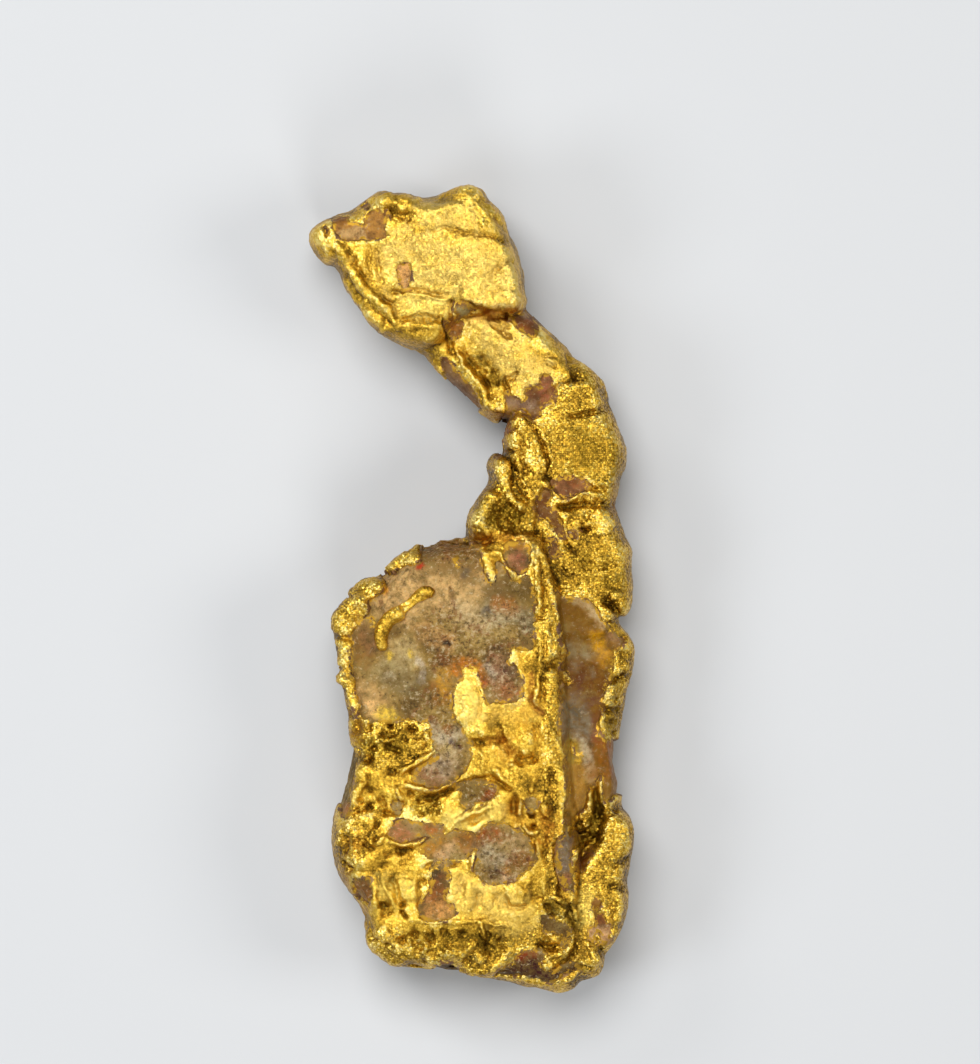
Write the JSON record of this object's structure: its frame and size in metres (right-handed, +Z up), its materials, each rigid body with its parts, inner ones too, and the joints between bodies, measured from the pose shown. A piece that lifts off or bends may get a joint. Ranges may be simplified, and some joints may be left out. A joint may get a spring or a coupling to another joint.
{
  "type": "gold nugget",
  "caption": "Native gold nugget with a broad head, a bent neck and a deeper body, grown through milky and honey-coloured quartz.",
  "frame": {"origin": "middle of the nugget's footprint, on the surface that it rests on", "axes": "+Z up, out of the face that shows the quartz; +Y along the nugget towards its head; +X across it, towards the honey-coloured quartz"},
  "size_m": [0.013, 0.0322, 0.0061],
  "materials": {
    "native_gold": "natural crinkled and finely granular gold, bright on the ridges, browner in the hollows",
    "milky_quartz": "milky tan and grey quartz, mottled with rust and small dark spots, low gloss",
    "honey_quartz": "translucent honey-brown quartz, smooth fracture faces",
    "rosy_quartz": "pinkish brown iron-stained quartz"
  },
  "bodies": {
    "root": {"native_gold": "native_gold", "gold_wire": "native_gold", "milky_quartz": "milky_quartz", "honey_quartz": "honey_quartz", "head_quartz": "rosy_quartz", "neck_quartz": "rosy_quartz", "column_quartz": "rosy_quartz"}
  },
  "joints": []
}
